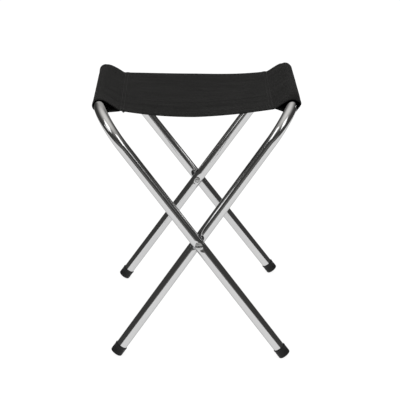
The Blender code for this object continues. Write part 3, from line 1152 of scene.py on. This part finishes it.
def make_seam_rows():
    """Two rows for each seam, which show on top of the panel and under its seam allowance."""
    ys = np.linspace(-SEAT_HALF_WIDTH + END_MARGIN, SEAT_HALF_WIDTH - END_MARGIN, 120)
    points, normals = surface(ys)
    panel_x = points[len(ys) // 2, PANEL_START:-PANEL_START, 0]
    rows = []
    for side, sign in (("left", -1.0), ("right", 1.0)):
        for row, inset in SEAM_ROWS:
            x = sign * (SEAM_X - SEAM_GAP - inset)
            at = PANEL_START + int(np.argmin(np.abs(panel_x - x)))
            path, out = points[:, at], normals[:, at]
            under = path - out * (LAYER + CLOTH / 2 + STITCH_LIFT)
            tracks = [(path, out, CLOTH / 2 + STITCH_LIFT), (under, -out, 0.0)]
            knots = [under[0] + KNOT_SHIFT] if (side, row) == ("left", "inner") else []
            rows.append(make_stitches(f"seam_thread_{side}_{row}", tracks, knots))
    return rows


def make_hem_rows():
    """One row along each hem, from one underlap round both bars to the other."""
    rows = []
    for side, hand in HANDS:
        points, normals = surface([hand * (SEAT_HALF_WIDTH - HEM_STITCH)])
        inside = slice(2 * LAP_POINTS, -2 * LAP_POINTS)
        track = (points[0, inside], normals[0, inside], CLOTH / 2 + STITCH_LIFT)
        rows.append(make_stitches(f"hem_thread_{side}", [track]))
    return rows


# Stage, light and camera.

FLOOR_RADIUS = 1.3
FLOOR_GREY = 0.22
FLOOR_GLOW = 0.93

# The room that the chrome sees. The stops are (place, grey): the ceiling's over height, the
# rear wall's and the viewer side's over facing, and the viewer's glow over height + 0.5.
EYE_WHITE = 1.05
HORIZON_GREY = 0.066
ROOM_TINT = (1.0, 0.985, 0.955)
CEILING = ((0.40, 0.0), (0.58, 0.12), (0.74, 0.34), (0.90, 0.74), (1.0, 0.95))
REAR_WALL = ((0.78, 0.0), (0.94, 0.62))
VIEWER_GLOW = ((0.30, 0.0), (0.38, 0.12), (0.52, 0.10), (0.60, 0.0))
VIEWER_SIDE = ((0.75, 0.0), (0.95, 1.0))
LAMP_AIM = Vector((0.0, 0.0, 0.35))

CAMERA_FOCUS = 134.67
CAMERA_SENSOR = 36.0
CAMERA_PLACE = Vector((-0.0093, -2.4629, PIVOT.z + 0.85084))
CAMERA_YAW = 0.00537
CAMERA_PITCH = 0.32756
CAMERA_ROLL = -0.01256


def make_floor():
    """A round pale table: mostly its own even light, with a little shade under the feet."""
    shape = bmesh.new()
    bmesh.ops.create_circle(shape, cap_ends=True, segments=96, radius=FLOOR_RADIUS)
    s = Shader("pale_floor")
    s.value("Base Color", (*rgb(FLOOR_GREY), 1.0))
    s.value("Roughness", 1.0)
    s.value("Specular IOR Level", 0.0)
    s.value("Emission Color", (1.0, 1.0, 1.0, 1.0))
    s.value("Emission Strength", FLOOR_GLOW)
    floor = scene_object("floor", mesh_from(shape, "floor"))
    floor.data.materials.append(s.material)
    floor.visible_diffuse = False


class WorldShader(Shader):
    """A world whose light is a grey worked out from direction, and plain white to the camera."""

    def __init__(self, name):
        world = bpy.data.worlds.new(name)
        bpy.context.scene.world = world
        world.use_nodes = True
        self.tree = world.node_tree
        self.tree.nodes.clear()

    def finish(self, grey):
        eye = self.add("ShaderNodeBackground")
        eye.inputs["Color"].default_value = (1.0, 1.0, 1.0, 1.0)
        eye.inputs["Strength"].default_value = EYE_WHITE
        tint = self.add("ShaderNodeVectorMath", operation="SCALE")
        tint.inputs[0].default_value = ROOM_TINT
        self.link(grey, tint.inputs["Scale"])
        room = self.add("ShaderNodeBackground")
        self.link(tint.outputs[0], room.inputs["Color"])
        mix = self.add("ShaderNodeMixShader")
        self.link(self.add("ShaderNodeLightPath").outputs["Is Camera Ray"], mix.inputs["Fac"])
        self.link(room.outputs[0], mix.inputs[1])
        self.link(eye.outputs[0], mix.inputs[2])
        self.link(mix.outputs[0], self.add("ShaderNodeOutputWorld").inputs["Surface"])


def make_world():
    """White to the eye. The chrome sees a dark room with a pale ceiling and a pale rear wall.

    There is also a faint band of light at eye level, on the viewer's side.
    """
    s = WorldShader("studio")
    across, depth, height = s.axes(s.add("ShaderNodeTexCoord").outputs["Generated"])
    squares = s.math("ADD", s.math("MULTIPLY", across, across), s.math("MULTIPLY", depth, depth))
    facing = s.math("DIVIDE", depth, s.math("MAXIMUM", s.math("SQRT", squares), 0.001))
    glow = s.ramp(s.math("ADD", height, 0.5), *VIEWER_GLOW)
    toward_viewer = s.ramp(s.math("MULTIPLY", facing, -1.0), *VIEWER_SIDE)
    low = s.math("ADD", s.math("MULTIPLY", glow, toward_viewer), HORIZON_GREY)
    open_room = s.math("ADD", s.ramp(height, *CEILING), low)
    s.finish(s.math("MAXIMUM", open_room, s.ramp(facing, *REAR_WALL)))


def softbox(name, azimuth, elevation, spread, radiance, distance=2.5):
    """A lamp at a distance from the seat. Azimuth 0 is behind it, and 90 is on its right.

    Spread is the lamp's width and height in degrees as the seat sees it.
    """
    turn, rise = math.radians(azimuth), math.radians(elevation)
    level = math.cos(rise)
    outward = Vector((math.sin(turn) * level, math.cos(turn) * level, math.sin(rise)))
    data = bpy.data.lights.new(name, "AREA")
    data.shape = "RECTANGLE"
    data.size = 2.0 * distance * math.tan(math.radians(spread[0] / 2))
    data.size_y = 2.0 * distance * math.tan(math.radians(spread[1] / 2))
    data.energy = radiance * math.pi * data.size * data.size_y
    lamp = scene_object(name, data)
    lamp.location = LAMP_AIM + distance * outward
    lamp.rotation_mode = "QUATERNION"
    lamp.rotation_quaternion = (-outward).to_track_quat("-Z", "Y")
    lamp.visible_camera = False


def make_lights():
    """Two windows, a low lamp, and two near lamps for the thin bright lines by the pivots."""
    softbox("left_window", -138.0, 39.0, spread=(26.0, 29.0), radiance=1.8)
    softbox("right_window", 143.0, 34.0, spread=(24.0, 29.0), radiance=1.8)
    softbox("left_edge", -122.0, 15.6, spread=(20.0, 5.0), radiance=1.5, distance=1.05)
    softbox("rear_edge", 68.3, 13.2, spread=(14.0, 4.0), radiance=1.8, distance=1.054)
    softbox("right_low", 128.0, 20.0, spread=(14.0, 8.0), radiance=0.17)


def make_camera():
    """The photo's view. Yaw, pitch and roll are in radians."""
    data = bpy.data.cameras.new("camera")
    data.sensor_width = CAMERA_SENSOR
    data.lens = CAMERA_FOCUS
    camera = scene_object("camera", data)
    bpy.context.scene.camera = camera
    level = math.cos(CAMERA_PITCH)
    ahead = (math.sin(CAMERA_YAW) * level, math.cos(CAMERA_YAW) * level, -math.sin(CAMERA_PITCH))
    forward = Vector(ahead)
    right = Vector((math.cos(CAMERA_YAW), -math.sin(CAMERA_YAW), 0.0))
    up = right.cross(forward)
    tilted_right = right * math.cos(CAMERA_ROLL) + up * math.sin(CAMERA_ROLL)
    tilted_up = up * math.cos(CAMERA_ROLL) - right * math.sin(CAMERA_ROLL)
    camera.location = CAMERA_PLACE
    camera.rotation_mode = "QUATERNION"
    camera.rotation_quaternion = Matrix((tilted_right, tilted_up, -forward)).transposed().to_quaternion()


make_tube("outer_frame_tube", OUTER_HALF_WIDTH, lean_sign=-1.0, mating_side=-1.0, body="outer_frame")
make_tube("inner_frame_tube", INNER_HALF_WIDTH, lean_sign=1.0, mating_side=1.0, body="inner_frame")
for side, hand in HANDS:
    make_foot(f"outer_foot_{side}", OUTER_HALF_WIDTH, -1.0, hand, "outer_frame")
    make_foot(f"inner_foot_{side}", INNER_HALF_WIDTH, 1.0, hand, "inner_frame")
    make_screw(side, hand)
    make_nut(side, hand)
    make_spacer(side, hand)

cloth, places = make_cloth()
stitching = make_seam_rows() + make_hem_rows()

make_floor()
make_world()
make_lights()
make_camera()
bpy.context.scene.view_settings.view_transform = "Standard"
